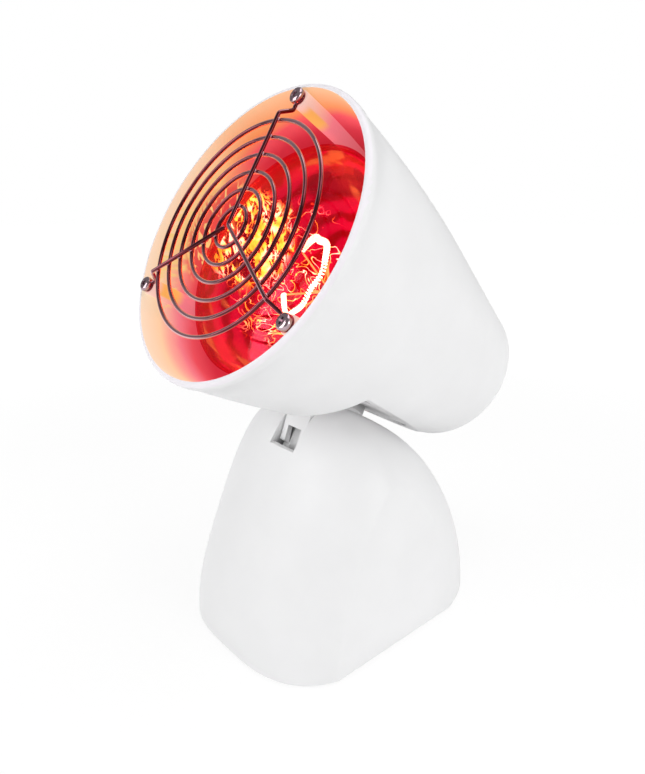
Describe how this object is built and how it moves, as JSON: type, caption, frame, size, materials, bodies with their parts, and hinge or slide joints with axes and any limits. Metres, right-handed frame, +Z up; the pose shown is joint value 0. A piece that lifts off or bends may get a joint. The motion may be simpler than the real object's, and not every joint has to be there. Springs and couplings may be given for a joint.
{
  "type": "infrared heat therapy lamp",
  "caption": "Table-top infrared heat lamp: bell shade with wire guard and reflector bulb, tilting on a hinge in a domed stand.",
  "frame": {"origin": "on the floor under the middle of the whole lamp's box", "axes": "+Z up; the mouth of the shade faces -Y and up; +X is left-right"},
  "size_m": [0.1454, 0.2113, 0.2748],
  "materials": {
    "white_plastic": "white, satin gloss, smooth moulded",
    "plate_plastic": "white, fine moulded grain",
    "foot_rubber": "black, matt",
    "screw_steel": "zinc-plated steel",
    "ballast_iron": "raw cast",
    "washer_plastic": "grey friction plastic",
    "switch_plastic": "white moulded",
    "rocker_plastic": "light grey, glossy",
    "gland_plastic": "white, soft",
    "terminal_plastic": "natural white",
    "contact_brass": "plain brass",
    "guard_chrome": "bright plated wire",
    "red_glass": "deep red, polished",
    "mirror_film": "vapour-deposited aluminium on the inside of the glass",
    "cap_aluminium": "rolled shell",
    "stem_glass": "clear",
    "support_steel": "nickel-plated wire",
    "filament_metal": "tungsten wire, glowing when lit",
    "holder_ceramic": "white glazed ceramic",
    "bracket_steel": "zinc-plated sheet"
  },
  "bodies": {
    "stand": {"stand_shell": "white_plastic", "base_plate": "plate_plastic", "rubber_feet": "foot_rubber", "base_plate_screws": "screw_steel", "ballast_screws": "screw_steel", "ballast_weight": "ballast_iron", "hinge_bolt": "screw_steel", "friction_washers": "washer_plastic", "spring_washer": "screw_steel", "hinge_nut": "screw_steel", "switch_housing": "switch_plastic", "cable_gland": "gland_plastic", "terminal_block": "terminal_plastic", "terminal_screws": "contact_brass"},
    "head": {"shade_shell": "white_plastic", "neck_bracket": "white_plastic", "neck_screws": "screw_steel", "guard_leg_pair": "guard_chrome", "guard_leg_single": "guard_chrome", "guard_screws": "guard_chrome", "bulb_glass": "red_glass", "bulb_mirror": "mirror_film", "bulb_cap": "cap_aluminium", "bulb_contact": "contact_brass", "bulb_stem": "stem_glass", "filament_supports": "support_steel", "filament": "filament_metal", "lampholder_body": "holder_ceramic", "lampholder_sleeve": "contact_brass", "lampholder_contact": "contact_brass", "lampholder_bracket": "bracket_steel", "lampholder_screws": "screw_steel", "bracket_screws": "screw_steel", "guard_ring_1": "guard_chrome", "guard_ring_2": "guard_chrome", "guard_ring_3": "guard_chrome", "guard_ring_4": "guard_chrome", "guard_ring_5": "guard_chrome", "guard_ring_6": "guard_chrome"},
    "rocker": {"switch_rocker": "rocker_plastic"}
  },
  "joints": [
    {"name": "head_tilt", "type": "hinge", "parent": "stand", "child": "head", "pos_m": [0, -0.01759, 0.095], "axis": [-1, 0, 0], "range_deg": [-28, 10]},
    {"name": "switch_rock", "type": "hinge", "parent": "stand", "child": "rocker", "pos_m": [-0.0555, -0.00959, 0.038], "axis": [0, 1, 0], "range_deg": [-16, 0]}
  ]
}
